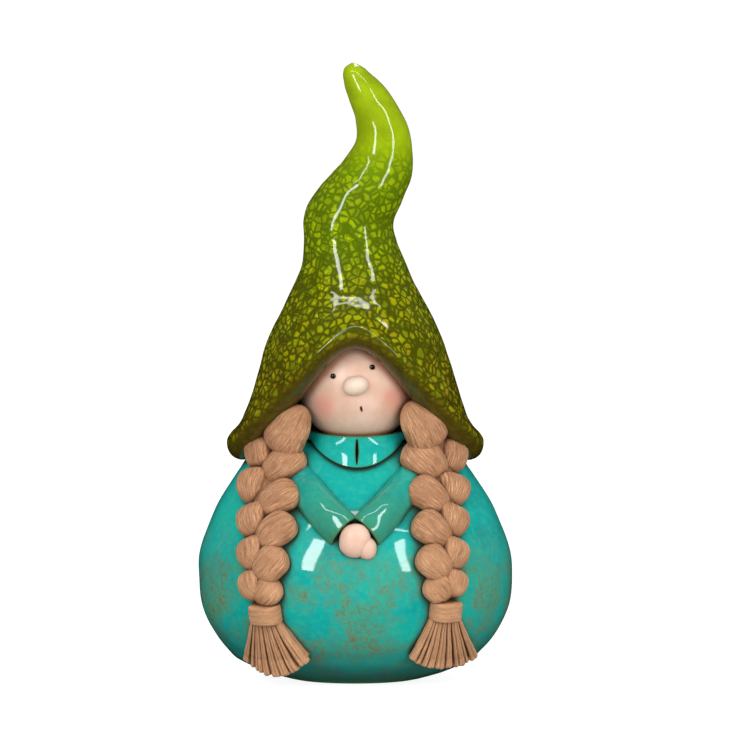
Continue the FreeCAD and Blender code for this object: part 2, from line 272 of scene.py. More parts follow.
def dress_place(x, z):
    """Points of the dress's front at these places, and their outward normals."""

    def point(px, pz):
        found = curve(DRESS, pz)
        half_width, front = found[..., 0], found[..., 1]
        share = np.clip(1 - (px / half_width) ** 2, 0.02, 1)
        return np.stack([px, -front * np.sqrt(share), pz], -1)

    x, z = np.broadcast_arrays(np.asarray(x, float), np.asarray(z, float))
    reach = 2.0
    across = point(x + reach, z) - point(x - reach, z)
    along = point(x, z + reach) - point(x, z - reach)
    return point(x, z), unit(np.cross(across, along))


# ---- Helpers for materials ----------------------------------------------------------------


class Paint:
    """A node material that is built in a few short calls."""

    def __init__(self, name):
        self.material = bpy.data.materials.new(name)
        self.material.use_nodes = True
        self.tree = self.material.node_tree
        self.tree.nodes.clear()
        self.shader = self.node("ShaderNodeBsdfPrincipled")
        out = self.node("ShaderNodeOutputMaterial")
        self.link(self.shader.outputs[0], out.inputs["Surface"])
        self.place = self.node("ShaderNodeTexCoord").outputs["Object"]

    def node(self, kind, **settings):
        made = self.tree.nodes.new(kind)
        for key, value in settings.items():
            setattr(made, key, value)
        return made

    def link(self, source, target):
        self.tree.links.new(source, target)

    def feed(self, socket, value):
        if isinstance(value, bpy.types.NodeSocket):
            self.link(value, socket)
        else:
            socket.default_value = value

    def mark(self, name):
        """The numbers that a shape gives its points under this name."""
        return self.node("ShaderNodeAttribute", attribute_name=name).outputs["Fac"]

    def math(self, operation, a, b):
        made = self.node("ShaderNodeMath", operation=operation)
        for socket, value in zip(made.inputs, (a, b)):
            self.feed(socket, value)
        return made.outputs[0]

    def vector(self, operation, a, b=None, scale=None):
        made = self.node("ShaderNodeVectorMath", operation=operation)
        self.feed(made.inputs[0], a)
        if b is not None:
            self.feed(made.inputs[1], b)
        if scale is not None:
            self.feed(made.inputs["Scale"], scale)
        return made.outputs["Vector"]

    def combine(self, x, y):
        made = self.node("ShaderNodeCombineXYZ")
        for socket, value in zip(made.inputs, (x, y)):
            self.feed(socket, value)
        return made.outputs[0]

    def height(self):
        made = self.node("ShaderNodeSeparateXYZ")
        self.link(self.place, made.inputs[0])
        return made.outputs["Z"]

    def noise(self, size, detail=3.0, rough=0.55, where=None, colour=False):
        """Noise with features of about this size in metres."""
        made = self.node("ShaderNodeTexNoise")
        self.feed(made.inputs["Vector"], where or self.place)
        made.inputs["Scale"].default_value = 1.0 / size
        made.inputs["Detail"].default_value = detail
        made.inputs["Roughness"].default_value = rough
        return made.outputs["Color" if colour else "Fac"]

    def warped(self, size, amount):
        """The place, pushed about by noise."""
        push = self.vector("SUBTRACT", self.noise(size, 2.0, colour=True), (0.5, 0.5, 0.5))
        return self.vector("ADD", self.place, self.vector("SCALE", push, scale=amount))

    def cells(self, size, where, feature="F1", output="Distance"):
        """Cells of about this size in metres."""
        made = self.node("ShaderNodeTexVoronoi", feature=feature)
        self.link(where, made.inputs["Vector"])
        made.inputs["Scale"].default_value = 1.0 / size
        return made.outputs[output]

    def ramp(self, value, *stops):
        """A smooth blend through (position, colour) stops."""
        made = self.node("ShaderNodeValToRGB")
        made.color_ramp.interpolation = "EASE"
        elements = made.color_ramp.elements
        while len(elements) < len(stops):
            elements.new(0.5)
        for element, (position, shade) in zip(elements, stops):
            element.position = position
            element.color = (*shade, 1)
        self.link(value, made.inputs[0])
        return made.outputs["Color"]

    def span(self, value, low, high, to_low=0.0, to_high=1.0):
        """A smooth change from one number to the other as the value goes from low to high."""
        made = self.node("ShaderNodeMapRange", interpolation_type="SMOOTHSTEP")
        self.link(value, made.inputs["Value"])
        for key, number in zip(
            ("From Min", "From Max", "To Min", "To Max"), (low, high, to_low, to_high)
        ):
            made.inputs[key].default_value = number
        return made.outputs["Result"]

    def mix(self, share, a, b):
        made = self.node("ShaderNodeMix", data_type="RGBA")
        self.feed(made.inputs["Factor"], share)
        colour_sockets = [s for s in made.inputs if s.type == "RGBA"]
        for socket, value in zip(colour_sockets, (a, b)):
            self.feed(socket, (*value, 1) if isinstance(value, tuple) else value)
        return [s for s in made.outputs if s.type == "RGBA"][0]

    def crevice(self, reach):
        """1 in the open, and down to 0 in a gap narrower than the reach. The materials paint shade
        with it.
        """
        made = self.node("ShaderNodeAmbientOcclusion", samples=8)
        made.inputs["Distance"].default_value = reach
        return made.outputs["AO"]

    def bump(self, height, distance, strength=1.0, under=None):
        made = self.node("ShaderNodeBump")
        made.inputs["Strength"].default_value = strength
        made.inputs["Distance"].default_value = distance
        self.link(height, made.inputs["Height"])
        if under is not None:
            self.link(under, made.inputs["Normal"])
        return made.outputs[0]

    def finish(self, colour, roughness, normal, **settings):
        self.feed(self.shader.inputs["Base Color"], colour)
        self.feed(self.shader.inputs["Roughness"], roughness)
        if normal is not None:
            self.link(normal, self.shader.inputs["Normal"])
        for key, value in settings.items():
            self.shader.inputs[key.replace("_", " ")].default_value = value
        return self.material


def srgb(red, green, blue):
    """A linear colour from the usual 0 to 255 one."""
    return tuple(
        c / 12.92 if c <= 0.04045 else ((c + 0.055) / 1.055) ** 2.4
        for c in (red / 255, green / 255, blue / 255)
    )


def make_hat_glaze():
    """Lime cells in an olive net with a smooth tip and a clear coat; brown inside and under the
    brim, as brown glaze and painted shade, and painted shade in folds and gaps.
    """
    p = Paint("hat_glaze")
    z = p.height()
    where = p.warped(0.010, 0.0045)
    edge = p.cells(0.0056, where, "DISTANCE_TO_EDGE")
    tint = p.node("ShaderNodeSeparateColor")
    p.link(p.cells(0.0056, where, "F1", "Color"), tint.inputs[0])
    fine = p.cells(0.0030, p.warped(0.005, 0.002), "DISTANCE_TO_EDGE")
    smooth_tip = p.span(z, 0.362, 0.398)
    patch = p.noise(0.030, 3.0)
    light = p.ramp(
        p.span(z, 0.16, 0.44),
        (0.0, srgb(150, 146, 4)),
        (0.35, srgb(160, 166, 2)),
        (0.62, srgb(156, 178, 2)),
        (0.85, srgb(146, 172, 4)),
        (1.0, srgb(154, 180, 16)),
    )
    dark = p.ramp(
        p.span(z, 0.16, 0.44),
        (0.0, srgb(62, 52, 2)),
        (0.35, srgb(62, 68, 2)),
        (0.7, srgb(78, 104, 2)),
        (1.0, srgb(122, 152, 6)),
    )
    amber = p.math("MULTIPLY", p.span(tint.outputs[0], 0.66, 0.84), p.span(z, 0.33, 0.20))
    light = p.mix(p.math("MULTIPLY", amber, 0.6), light, srgb(150, 104, 14))
    deep = p.math("MULTIPLY", p.span(tint.outputs[1], 0.45, 0.95), p.span(z, 0.40, 0.30))
    light = p.mix(p.math("MULTIPLY", deep, 0.62), light, srgb(86, 100, 4))
    width = p.span(p.noise(0.009, 2.0), 0.3, 0.7, 0.55, 1.6)
    net = p.span(p.math("DIVIDE", edge, width), 0.30, 0.03)
    fine_net = p.math("MULTIPLY", p.span(fine, 0.20, 0.06), p.span(patch, 0.46, 0.62))
    net = p.math("MAXIMUM", net, p.math("MULTIPLY", fine_net, 0.7))
    net = p.math("MULTIPLY", net, p.span(smooth_tip, 0.0, 1.0, 0.95, 0.07))
    colour = p.mix(net, light, dark)
    colour = p.mix(p.span(patch, 0.60, 0.34, 0.0, 0.30), colour, srgb(78, 86, 4))
    # Inside the hat and under its brim: brown glaze, darkened further as painted shade.
    brim_brown_and_painted_shade = p.mix(p.noise(0.006, 4.0), srgb(46, 36, 8), srgb(92, 80, 14))
    colour = p.mix(p.mark("brim"), colour, brim_brown_and_painted_shade)
    # Painted shade: darker in the hat's folds and gaps, where other pieces come near.
    open_air_for_painted_shade = p.crevice(0.010)
    colour = p.mix(p.span(open_air_for_painted_shade, 0.75, 0.25, 0.0, 0.7), colour, srgb(34, 26, 6))
    dome = p.span(edge, 0.0, 0.35)
    relief = p.math("MULTIPLY", dome, p.span(smooth_tip, 0.0, 1.0, 1.0, 0.06))
    normal = p.bump(relief, 0.0007, 0.4)
    normal = p.bump(p.noise(0.010, 3.0), 0.0012, 0.45, normal)
    return p.finish(
        colour,
        p.span(p.noise(0.02), 0.3, 0.7, 0.4, 0.5),
        normal,
        Specular_IOR_Level=0.03,
        Coat_Weight=0.8,
        Coat_Roughness=0.06,
    )


def make_dress_glaze():
    """Turquoise, worn to olive and rust in a belt round the dress, with a clear coat; darker
    towards the foot as painted shade, brown in creases as airbrushing and painted shade, and
    near-black in hollows as painted shade.
    """
    p = Paint("dress_glaze")
    z = p.height()
    patch = p.noise(0.045, 4.0, 0.6)
    colour = p.ramp(
        patch,
        (0.25, srgb(10, 140, 138)),
        (0.5, srgb(16, 162, 154)),
        (0.75, srgb(26, 172, 152)),
    )
    fleck = p.span(p.noise(0.0045, 3.0), 0.42, 0.7, 0.0, 0.30)
    colour = p.mix(fleck, colour, srgb(60, 186, 150))
    worn = p.noise(0.030, 5.0, 0.65, where=p.vector("ADD", p.place, (0.3, 0.1, 0.2)))
    belt = p.math("MULTIPLY", p.span(z, 0.125, 0.060), p.span(worn, 0.38, 0.60))
    colour = p.mix(p.math("MULTIPLY", belt, 0.42), colour, srgb(84, 148, 104))
    grain = p.noise(0.0024, 3.0, 0.7)
    speck = p.math("MULTIPLY", belt, p.span(grain, 0.46, 0.58))
    colour = p.mix(p.math("MULTIPLY", speck, 0.62), colour, srgb(112, 104, 52))
    rust = p.math("MULTIPLY", belt, p.span(p.noise(0.012, 5.0, 0.75), 0.50, 0.64))
    rust = p.math("MULTIPLY", rust, p.span(grain, 0.36, 0.56, 0.3, 1.0))
    colour = p.mix(p.math("MULTIPLY", rust, 0.66), colour, srgb(126, 96, 52))
    # Painted shade: darker teal towards the foot, on the underside.
    foot = p.span(z, 0.045, 0.004)
    colour = p.mix(p.math("MULTIPLY", foot, 0.75), colour, srgb(34, 92, 84))
    # Brown in creases and where parts meet, as airbrushing and painted shade.
    crease_airbrush_and_painted_shade = p.span(p.crevice(0.010), 0.88, 0.4, 0.0, 0.9)
    crease_airbrush_and_painted_shade = p.math("MULTIPLY", crease_airbrush_and_painted_shade, p.span(z, 0.004, 0.03))
    colour = p.mix(crease_airbrush_and_painted_shade, colour, srgb(44, 40, 16))
    colour = p.mix(p.math("MULTIPLY", p.mark("edge"), 0.7), colour, srgb(70, 118, 66))
    # Painted shade: near-black where a shape marks a deep hollow, behind the collar's slit, inside
    # the cuffs and inside the collar.
    colour = p.mix(p.mark("deep"), colour, srgb(14, 12, 8))
    normal = p.bump(p.noise(0.018, 3.0), 0.0016, 0.5)
    normal = p.bump(p.noise(0.0035, 2.0), 0.00022, 0.5, normal)
    return p.finish(
        colour,
        p.span(worn, 0.3, 0.7, 0.4, 0.55),
        normal,
        Specular_IOR_Level=0.03,
        Coat_Weight=0.9,
        Coat_Roughness=0.06,
    )


def make_hair():
    """Stained clay with streaks along each strand, darker in its grooves, with painted shade in its
    gaps and creases.
    """
    p = Paint("hair")
    along, around = p.mark("along"), p.mark("around")
    streak_place = p.combine(p.math("MULTIPLY", along, 0.10), around)
    streak = p.noise(0.0010, 4.0, 0.65, where=streak_place)
    patch = p.noise(0.014, 4.0, 0.6)
    colour = p.ramp(
        streak, (0.30, srgb(132, 88, 58)), (0.5, srgb(180, 132, 96)), (0.72, srgb(226, 180, 140))
    )
    colour = p.mix(p.span(patch, 0.4, 0.68, 0.0, 0.5), colour, srgb(152, 104, 72))
    colour = p.mix(p.span(p.height(), 0.12, 0.03, 0.0, 0.35), colour, srgb(220, 170, 126))
    speck = p.span(p.noise(0.0011, 3.0, 0.75), 0.56, 0.68, 0.0, 0.55)
    colour = p.mix(speck, colour, srgb(118, 74, 50))
    # Darker in the combed grooves, as the stain's wash; the rope behind the lobes is marked all
    # over, and its darkening is painted shade in the gaps between them.
    colour = p.mix(p.math("MULTIPLY", p.mark("groove"), 0.55), colour, srgb(112, 70, 42))
    # Painted shade: dark brown in the gaps and creases between strands and pieces.
    open_air_for_painted_shade = p.crevice(0.008)
    colour = p.mix(p.span(open_air_for_painted_shade, 0.8, 0.2, 0.0, 0.85), colour, srgb(74, 40, 22))
    normal = p.bump(streak, 0.0007, 0.6)
    normal = p.bump(p.noise(0.003, 4.0, 0.65), 0.0008, 0.5, normal)
    return p.finish(colour, p.span(streak, 0.3, 0.7, 0.62, 0.8), normal, Specular_IOR_Level=0.25)


def make_skin():
    """Painted clay with a blush, paler where a shape says so, and orange-brown at its edges and in
    gaps as airbrushing and painted shade.
    """
    p = Paint("skin")
    patch = p.noise(0.02, 4.0)
    colour = p.mix(p.span(patch, 0.3, 0.7), srgb(214, 174, 150), srgb(228, 192, 172))
    speck = p.span(p.noise(0.0013, 3.0, 0.7), 0.60, 0.72, 0.0, 0.22)
    colour = p.mix(speck, colour, srgb(186, 140, 112))
    colour = p.mix(p.math("MULTIPLY", p.mark("blush"), 0.7), colour, srgb(222, 146, 128))
    colour = p.mix(p.math("MULTIPLY", p.mark("pale"), 0.75), colour, srgb(236, 214, 194))
    # Orange-brown at the face's edges and in gaps, as airbrushing and painted shade.
    open_air_for_painted_shade = p.crevice(0.008)
    colour = p.mix(p.span(open_air_for_painted_shade, 0.85, 0.25, 0.0, 0.8), colour, srgb(174, 104, 66))
    colour = p.mix(p.mark("mouth"), colour, srgb(40, 20, 16))
    normal = p.bump(p.noise(0.006, 4.0), 0.0005, 0.4)
    return p.finish(
        colour,
        p.span(patch, 0.3, 0.7, 0.42, 0.55),
        normal,
        Specular_IOR_Level=0.3,
        Coat_Weight=0.25,
        Coat_Roughness=0.25,
    )


def make_black_glaze():
    p = Paint("black_glaze")
    colour = p.mix(p.noise(0.001), srgb(10, 9, 9), srgb(24, 20, 18))
    normal = p.bump(p.noise(0.0012), 0.0001, 0.3)
    return p.finish(colour, 0.18, normal, Coat_Weight=1.0, Coat_Roughness=0.05)


def make_bare_clay():
    p = Paint("bare_clay")
    grain = p.noise(0.0012, 4.0, 0.7)
    colour = p.mix(p.span(p.noise(0.012), 0.3, 0.7), srgb(150, 92, 62), srgb(176, 116, 82))
    colour = p.mix(p.span(grain, 0.55, 0.7, 0.0, 0.5), colour, srgb(110, 66, 44))
    normal = p.bump(grain, 0.0004, 0.6)
    return p.finish(colour, 0.88, normal)


# ---- Pieces -------------------------------------------------------------------------------


# The foot's rim and the opening in it: radius, height.
FOOT = ((44.5, 0.0), (40, 0.0), (36.5, 0.2), (36, 1.5), (36, 9))


def make_dress(material):
    """One skin: the outside down to the foot, its rim, and the inside back up to the neck."""
    around = 300
    angle = np.linspace(0, TAU, around, endpoint=False)[None, :]

    def rings(heights, inset):
        found = curve(DRESS, heights)
        half_width, front, back = (found[:, k][:, None] - inset for k in range(3))
        depth = np.where(np.cos(angle) > 0, front, back)
        return np.stack(
            [
                -half_width * np.sin(angle),
                -depth * np.cos(angle),
                np.broadcast_to(heights[:, None], depth.shape),
            ],
            -1,
        )

    down = np.concatenate([[179, 178.5], np.linspace(178, 14, 165), [11, 8, 5, 2.5, 0.8]])
    outside = rings(down, 0)
    foot = []
    for size, z in FOOT:
        ring = np.zeros((around, 3))
        ring[:, 0], ring[:, 1], ring[:, 2] = -size * np.sin(angle[0]), -size * np.cos(angle[0]), z
        foot.append(ring)
    up = np.array([14, 20, 30, 45, 60, 80, 100, 120, 140, 155, 165, 172, 177.0])
    inside = rings(up, DRESS_WALL)
    points = np.concatenate([outside, np.array(foot), inside])
    out = normals_of(points, True)
    amount = step(1, 12, points[..., 2]) * step(178, 170, points[..., 2])
    amount[len(outside) :] = 0
    # A row of the outside shows which way is out.
    centre = points.reshape(-1, 3).mean(0)
    outward = np.sign(np.sum(out[60] * (points[60] - centre), -1).mean())
    bulge = 0.9 * lumps(points, 48, 3, 2) + 0.25 * lumps(points, 14, 9)
    points = points + out * outward * ((bulge - 0.6) * amount)[..., None]
    aside = np.abs(points[..., 0] - HEAD_CENTRE[0])
    # Painted shade: the dress behind the collar's slit is marked to be painted near-black.
    behind_slit = step(157, 160, points[..., 2]) * step(9, 5, aside)
    marks = {
        "edge": step(6, 0, points[..., 2]),
        "deep": behind_slit * (points[..., 1] < 0),
    }
    make_piece("dress", [(points, marks)], material, ["dress_shell"], True)


def brim_heights(angle):
    """The height of the brim's edge round the hat.

    It falls with the distance from the middle of the face, which depends on the hat's width at
    that same height, so it is found by steps.
    """
    across = np.where(np.cos(angle) > 0, np.abs(np.sin(angle)), 1.0)
    height = np.full_like(angle, BRIM_TOP_Z)
    for _ in range(BRIM_STEPS):
        distance = curve(HAT, height)[..., 2] * across
        height = BRIM_TOP_Z - BRIM_SLOPE * (np.hypot(distance, BRIM_ROUND) - BRIM_ROUND)
    return height


def make_hat(material):
    """One skin: down from the cavity's top, round the brim's lip, and on to the tip."""
    around = 300
    angle = np.linspace(0, TAU, around, endpoint=False)
    low = brim_heights(angle)
    depth_share = np.where(np.cos(angle) > 0, *HAT_DEPTH_SHARES)

    def ring(heights, offset):
        found = curve(HAT, heights)
        x, y, half_width = found[..., 0], found[..., 1], found[..., 2]
        return np.stack(
            [
                x - (half_width + offset) * np.sin(angle),
                y - (half_width * depth_share + offset) * np.cos(angle),
                heights,
            ],
            -1,
        )

    def level(z, offset):
        return ring(np.full_like(angle, z), offset)

    knots = [level(HAT_CAVITY_TOP_Z, -HAT_WALL - 3)]
    knots += [level(z, -HAT_WALL) for z in (415, 395, 370, 345, 320, 300, HAT_JOIN_Z)]
    knots += [ring(low + share * (HAT_JOIN_Z - low), -HAT_WALL) for share in (0.8, 0.6)]
    inner = len(knots)
    section = BRIM_INSIDE + BRIM_LIP + BRIM_OUTSIDE
    table = [(k, *place) for k, place in enumerate(section)]
    fine = curve(table, np.linspace(0, len(section) - 1, 64))
    knots += [ring(low + lift, offset) for offset, lift in fine]
    lip_end = len(knots)
    for share in np.linspace(0, 1, 70)[1:-1]:
        start = low + section[-1][1]
        knots.append(ring(start + share * (HAT_JOIN_Z - start), section[-1][0] * (1 - share)))
    knots += [level(z, 0) for z in np.linspace(HAT_JOIN_Z, HAT_CURL_Z, 105)]
    knots += [level(z, 0) for z in (436, 438, 439.5, 440.6, 441.4, 441.8, HAT_TOP_Z)]
    points = np.array(knots)
    row = np.arange(len(points))[:, None] * np.ones(around)[None, :]
    out = normals_of(points)
    # A row well up the outside shows which way is out.
    middle = len(points) - 60
    away = points[middle] - points[middle].mean(0)
    out = out * np.sign(np.sum(out[middle] * away, -1).mean())
    amount = step(inner, lip_end, row) * step(0, 14, HAT_TOP_Z - points[..., 2])
    bulge = 1.1 * lumps(points, 34, 21, 2) + 0.35 * lumps(points, 9, 4)
    points = points + out * ((bulge - 0.5) * amount)[..., None]
    # Inside the hat and under the brim's lip: brown glaze, with painted shade.
    marks = {"brim": step(inner + 47, inner + 38, row)}
    make_piece("hat_crackled", [(points, marks)], material, ["hat"])


# Cheeks and mouth on the face: distance across it, and height over its middle.
CHEEKS = ((-25.0, -6.0), (23.5, -11.5))
CHEEK_R = 13.0
MOUTH_LIFT = -14.0
MOUTH_HALF = (0.9, 2.2)
NOSE_LIFT = 3.5
NOSE_HALF = (9.4, 7.9, 7.3)


def make_head(material):
    """The head and the nose. The face's columns crowd together, for the mouth's sake."""
    rows, around = 210, 260
    t = np.linspace(0, TAU, around, endpoint=False)
    warp = t + 0.45 * np.sin(t - math.pi)
    up = np.linspace(0.02, math.pi - 0.02, rows)[:, None]
    local = np.stack(
        [
            np.sin(up) * np.sin(warp),
            -np.sin(up) * np.cos(warp),
            np.cos(up) * np.ones(around)[None, :],
        ],
        -1,
    )
    tilt = spin(-FACE_TILT)
    direction = local @ tilt.T
    across, lift = local[..., 0] * HEAD_R, local[..., 2] * HEAD_R
    front = step(0, 0.4, -local[..., 1])
    radius = np.full(across.shape, HEAD_R) + 0.25 * lumps(direction * HEAD_R, 22, 5) - 0.25
    mouth = np.hypot(across / MOUTH_HALF[0], (lift - MOUTH_LIFT) / MOUTH_HALF[1])
    radius = radius - 0.9 * step(1.3, 0.5, mouth) * front
    blush = np.zeros(across.shape)
    for x, z in CHEEKS:
        blush = blush + step(CHEEK_R, 1.0, np.hypot(across - x, lift - z)) * front
    points = direction * radius[..., None] + HEAD_CENTRE
    mouth = step(1.25, 0.75, mouth) * front
    marks = {"blush": blush, "mouth": mouth, "pale": np.zeros(across.shape)}
    make_piece("head_ball", [(points, marks)], material, ["head"])
    outward = np.array((0.0, -math.sqrt(HEAD_R**2 - NOSE_LIFT**2), NOSE_LIFT))
    centre = HEAD_CENTRE + tilt @ outward
    nose = ball_grid(70, 96, NOSE_HALF, centre, tilt)
    nose = nose + unit(nose - centre) * (0.35 * lumps(nose, 7, 2) - 0.2)[..., None]
    zero = np.zeros(nose.shape[:2])
    marks = {"blush": zero, "mouth": zero, "pale": zero + 1}
    make_piece("nose_ball", [(nose, marks)], material, ["nose"])


# The lobes of the plaits from the top down, by turns in the inner and the outer column: distance
# across the figure, height, half width, half length, and the lean of its top inwards in degrees.
LOBES = {
    "left": (
        (45.2, 182.0, 13.0, 19.0, 35),
        (67.7, 164.2, 9.8, 14.0, -12),
        (50.0, 155.5, 12.2, 17.4, 43),
        (74.3, 140.7, 9.6, 14.4, -14),
        (53.4, 132.4, 11.8, 17.0, 45),
        (74.2, 117.6, 9.4, 14.4, -25),
        (55.3, 110.9, 11.4, 16.4, 45),
        (74.6, 96.1, 8.9, 13.4, -25),
        (59.2, 89.0, 10.8, 14.8, 42),
        (74.3, 74.4, 8.1, 12.4, -20),
        (61.0, 70.0, 9.2, 12.0, 42),
    ),
    "right": (
        (46.4, 185.5, 13.5, 18.5, 35),
        (69.7, 162.2, 9.8, 14.0, -15),
        (49.0, 158.6, 13.6, 18.5, 40),
        (71.7, 138.0, 9.8, 13.4, -25),
        (51.5, 134.5, 12.0, 16.8, 42),
        (71.4, 117.6, 9.6, 13.4, -25),
        (54.2, 112.1, 11.4, 15.8, 45),
        (71.8, 96.1, 8.8, 12.8, -22),
        (55.7, 90.0, 10.8, 14.6, 45),
        (71.4, 76.0, 8.2, 11.4, -20),
        (58.2, 72.6, 9.2, 11.6, 45),
    ),
}
# A lobe's depth as a share of its width. The inner ones are flatter.
LOBE_DEPTH_SHARE = 0.80
INNER_FLATTEN = 0.88
# How the lobes differ from their rows: all are wider, the outer ones are wider again and nearer the
# middle by this many millimetres, and the top one is longer.
LOBE_WIDEN = 1.12
OUTER_WIDEN = 1.08
OUTER_SHIFT = 3.4
TOP_LENGTHEN = 1.08
# How much wider a lobe is at its top than at its middle, as a share.
LOBE_TAPER = 0.16
TOP_TAPER = -0.20
# How far a lobe's middle stands out, how much less its ends do, and how far it bows sideways.
LOBE_LIFT = 4.7
LOBE_DIVE = 3.4
LOBE_BEND = 1.3
SHOULDER_Z = 158.0
# The rope behind the lobes, from the bottom up: height, distance across the figure.
CORE = ((66.0, 66.5), (100.0, 65.5), (130.0, 64.0), (157.0, 61.0), (186.0, 55.0))
CORE_HALF = (9.0, 5.5)


def plait_place(side, x, z):
    """Points on the dress under the plait and the ways outwards, level above the shoulder."""
    on_dress, outward = dress_place(side * x, np.minimum(z, SHOULDER_Z))
    above = step(150, 166, z)[..., None]
    outward = unit(outward * (1 - above) + unit(outward * np.array((1, 1, 0))) * above)
    return np.stack([on_dress[..., 0], on_dress[..., 1], z + 0 * on_dress[..., 0]], -1), outward


def make_lobe(side, row, seed):
    """A pillow of combed clay, bent over the plait like a strand that dives in at both its ends."""
    x, z, half_width, half_length, lean = row
    outer, top = lean < 0, seed == 0
    if outer:
        x, half_width = x - OUTER_SHIFT, half_width * OUTER_WIDEN
    if top:
        half_length = half_length * TOP_LENGTHEN
    rings, around = 60, 72
    theta = np.linspace(0, TAU, around, endpoint=False)
    s = np.sin(np.linspace(-0.5, 0.5, rings) * math.pi * 0.995)
    place, outward = plait_place(side, np.array(x), np.array(z))
    up = unit(np.array((0, 0, 1.0)) - outward * outward[2])
    inwards = np.cross(outward, up) * side
    turn = math.radians(lean)
    along = up * math.cos(turn) + inwards * math.sin(turn)
    across = np.cross(along, outward)
    taper = TOP_TAPER if top else LOBE_TAPER
    size = (1 - np.abs(s) ** 3) ** 0.5 * (1 + taper * s)
    line = (
        place
        + outward * (LOBE_LIFT - LOBE_DIVE * s**2)[:, None]
        + along * (half_length * s)[:, None]
        + across * (LOBE_BEND * np.sign(lean) * side * (s**2 - 0.4))[:, None]
    )
    c, v = squarish(theta)
    depth = half_width * LOBE_DEPTH_SHARE * (1.0 if outer else INNER_FLATTEN)
    ring = (
        line[:, None]
        + across * (half_width * LOBE_WIDEN * size[:, None] * c)[..., None]
        + outward * (depth * size[:, None] * v)[..., None]
    )
    out = unit(ring - line[:, None])
    sway = 0.5 * np.sin(s * 3 + seed) + 0.3 * np.sin(s * 7 + 2 * seed)
    comb = 0.5 + 0.5 * np.cos(15 * theta[None, :] + 2 * sway[:, None] + seed)
    groove = step(0.60, 1.0, comb) * np.clip(lumps(ring, 7, 30 + seed) + 0.25, 0, 1)
    groove = groove * step(1.0, 0.9, np.abs(s))[:, None]
    body = 0.7 * lumps(ring, 11, 40 + seed) + 0.22 * lumps(ring, 3.5, 60 + seed) - 0.35 * groove
    ring = ring + out * (body * size[:, None])[..., None]
    marks = {
        "groove": groove,
        "along": ((half_length * s + 40 * seed)[:, None] + 0 * theta) * MM,
        "around": (half_width * c[None, :] * 1.3 + 0 * s[:, None]) * MM,
    }
    return ring, marks


def make_plait(side, name, material):
    """A rope with the lobes over it."""
    rings, around = 90, 40
    theta = np.linspace(0, TAU, around, endpoint=False)
    z = np.linspace(CORE[0][0], CORE[-1][0], rings)
    line, outward = plait_place(side, curve(CORE, z)[:, 0], z)
    along = unit(np.gradient(line, axis=0))
    across = unit(np.cross(along, outward))
    size = 0.75 + 0.25 * step(66, 150, z)
    rope = (
        line[:, None]
        + across[:, None] * (CORE_HALF[0] * size[:, None] * np.cos(theta))[..., None]
        + outward[:, None] * (CORE_HALF[1] * size[:, None] * np.sin(theta))[..., None]
    )
    rope = rope + unit(rope - line[:, None]) * (0.5 * lumps(rope, 8, 77))[..., None]
    marks = {
        # The whole rope is marked, so it is painted dark: painted shade in the gaps between the
        # lobes.
        "groove": 1.0 + 0 * rope[..., 0],
        "along": rope[..., 2] * MM,
        "around": (theta * 9 + 0 * z[:, None]) * MM,
    }
    shells = [(rope, marks)]
    shells += [make_lobe(side, row, seed) for seed, row in enumerate(LOBES[name])]
    make_piece(f"{name}_plait_strands", shells, material, [f"{name}_plait"])


# The ties: distance across the figure, and height.
TIE = {"left": (61.8, 55.6), "right": (62.6, 57.6)}
TIE_HALF_WIDTH = 12.0
TIE_HALF_DEPTH = 9.5
TIE_HALF_HEIGHT = 7.0
TIE_LIFT = 4.0
# The tassels: distance across the figure of the end's middle, its height there, and how much
# higher its corners are.
TASSEL_END = {"left": (53.8, 12.8, 10.0), "right": (61.2, 18.2, 5.0)}
TASSEL_TOP_HALF = 9.0
TASSEL_END_HALF = 21.4
# Below this height a tassel goes in by half a millimetre for each one down.
TASSEL_FREE_Z = 26.0


def make_tie(side, name, material):
    """A rounded band with wrapped grooves."""
    rows, around = 60, 120
    theta = np.linspace(0, TAU, around, endpoint=False)
    h = np.linspace(-1, 1, rows)
    on_dress, outward = dress_place(side * TIE[name][0], TIE[name][1])
    centre = on_dress + outward * TIE_LIFT
    up = unit(np.array((0, 0, 1.0)) - outward * outward[2])
    across = np.cross(up, outward)
    edge = (1 - np.abs(h) ** 7) ** (1 / 5)
    wide = TIE_HALF_WIDTH * (0.5 + 0.5 * edge)
    thick = TIE_HALF_DEPTH * (0.4 + 0.6 * edge)
    c, s = squarish(theta)
    line = centre + up * (h * TIE_HALF_HEIGHT)[:, None, None]
    ring = (
        line
        + across * (wide[:, None] * c)[..., None]
        + outward * (thick[:, None] * s)[..., None]
    )
    comb = 0.5 + 0.5 * np.cos(h[:, None] * 11 + 0.8 * np.sin(theta * 2))
    groove = step(0.6, 1.0, comb) * 0.25
    out = unit(ring - line)
    ring = ring + out * (0.45 * lumps(ring, 9, 60) - 0.35 * groove)[..., None]
    marks = {
        "groove": groove + 0 * c,
        "along": (theta[None, :] * 11 + 0 * h[:, None]) * MM,
        "around": (h[:, None] * TIE_HALF_HEIGHT + 0 * theta) * MM,
    }
    make_piece(f"{name}_tie_band", [(ring, marks)], material, [f"{name}_tie"])


